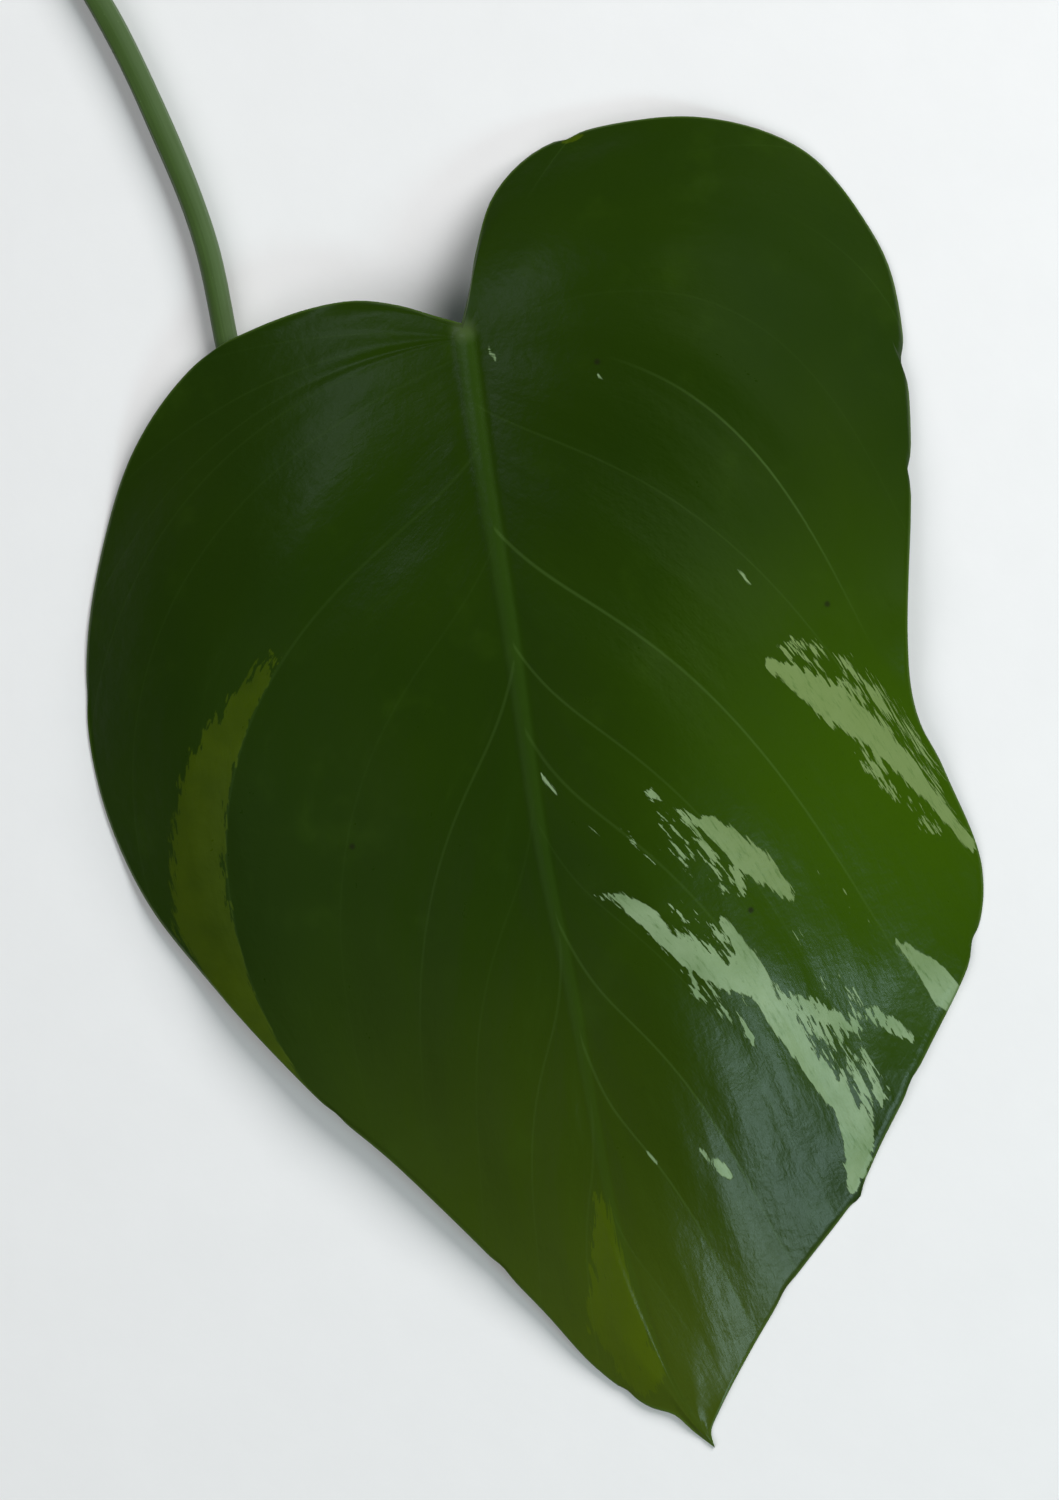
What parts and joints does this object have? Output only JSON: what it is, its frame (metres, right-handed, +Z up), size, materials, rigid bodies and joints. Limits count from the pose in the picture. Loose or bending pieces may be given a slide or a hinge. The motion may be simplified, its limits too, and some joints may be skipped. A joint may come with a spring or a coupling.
{
  "type": "monstera leaf",
  "caption": "Heart-shaped variegated climber leaf picked with its stalk, lying upper side up: arched blade with a lowered midrib and drooping edges, stalk bent underneath.",
  "frame": {"origin": "middle of the footprint of blade and stalk together, on the table that the leaf lies on", "axes": "+Y from the leaf's tip towards its notch and on along the stalk, +X to the leaf's right seen from above, +Z up through the glossy upper side"},
  "size_m": [0.1768, 0.3608, 0.0269],
  "materials": {
    "leaf_green": "satin waxy leaf, dark green with cream and lime patches, paler matte underside",
    "stalk_green": "satin, fine lengthwise lines"
  },
  "bodies": {
    "root": {"leaf_blade": "leaf_green", "leaf_stalk": "stalk_green"}
  },
  "joints": []
}
